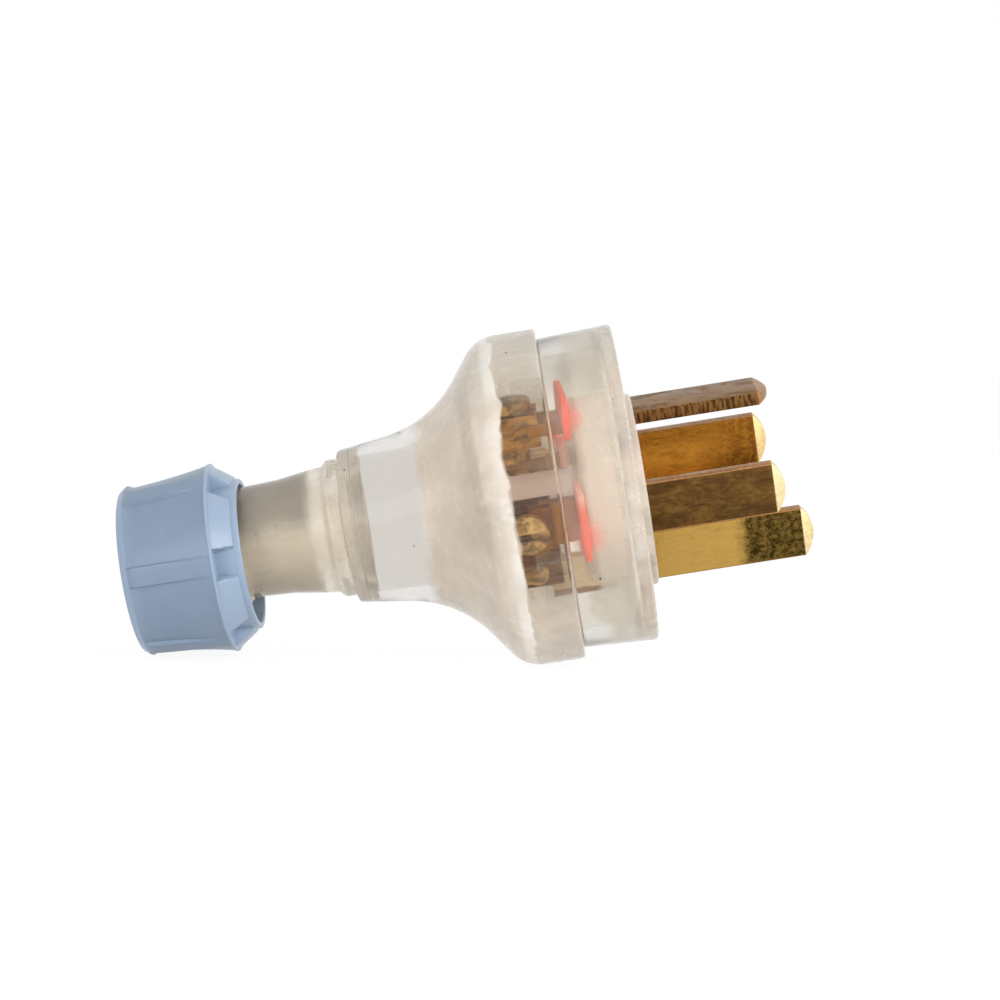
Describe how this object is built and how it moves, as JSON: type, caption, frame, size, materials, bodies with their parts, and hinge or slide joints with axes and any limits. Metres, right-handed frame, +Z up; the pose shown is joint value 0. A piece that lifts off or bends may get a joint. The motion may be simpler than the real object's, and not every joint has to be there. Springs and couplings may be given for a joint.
{
  "type": "four-pin power plug",
  "caption": "Clear flat-pin power plug with brass blades, bell-shaped cover, soft neck and a gland nut that screws along the neck to grip the cord.",
  "frame": {"origin": "middle of the bounding box at its lowest level, where the plug lies on a flat surface", "axes": "+X along the plug towards the blades, +Z up, and Y across; the plug's own axis rises 10.3 degrees towards the blades"},
  "size_m": [0.0877, 0.0418, 0.0428],
  "materials": {
    "clear_base": "milky clear moulding",
    "clear_cover": "clear moulding, slightly fogged",
    "clear_neck": "soft clear moulding",
    "beige_bush": "soft matte",
    "pale_blue_nut": "satin moulding",
    "ring_plastic": "matte",
    "brown_brass": "browned, worn",
    "dark_brass": "dark tarnish",
    "orange_brass": "warm tarnish",
    "yellow_brass": "bright with mottled tip",
    "terminal_brass": "dull brass",
    "screw_brass": "worn brass",
    "screw_steel": "plated steel",
    "red_washer": "matte"
  },
  "bodies": {
    "plug_body": {"pin_base": "clear_base", "blade_top": "brown_brass", "blade_near": "dark_brass", "blade_far": "orange_brass", "blade_earth": "yellow_brass", "washer_top": "red_washer", "washer_near": "red_washer", "washer_far": "red_washer", "terminal_top": "terminal_brass", "terminal_near": "terminal_brass", "terminal_far": "terminal_brass", "terminal_earth": "terminal_brass", "screw_top": "screw_brass", "screw_near": "screw_brass", "screw_far": "screw_brass", "screw_earth": "screw_brass", "cover_screw": "screw_steel", "cover_insert": "screw_brass", "rear_cover": "clear_cover", "neck_sleeve": "clear_neck", "grip_bush": "beige_bush"},
    "ring_body": {"thrust_ring": "ring_plastic"},
    "nut_body": {"gland_nut": "pale_blue_nut"}
  },
  "joints": [
    {"name": "nut_travel", "type": "slide", "parent": "plug_body", "child": "ring_body", "axis": [0.984, 0, 0.1783], "range_m": [-0.0046, 0.0015]},
    {"name": "nut_turn", "type": "hinge", "parent": "ring_body", "child": "nut_body", "pos_m": [-0.03703, 0, 0.01131], "axis": [0.984, 0, 0.1783], "range_deg": [-1080, 360]}
  ],
  "couplings": [
    {"joint": "nut_travel", "follows": "nut_turn", "m_per_rad": 0.00023873}
  ]
}
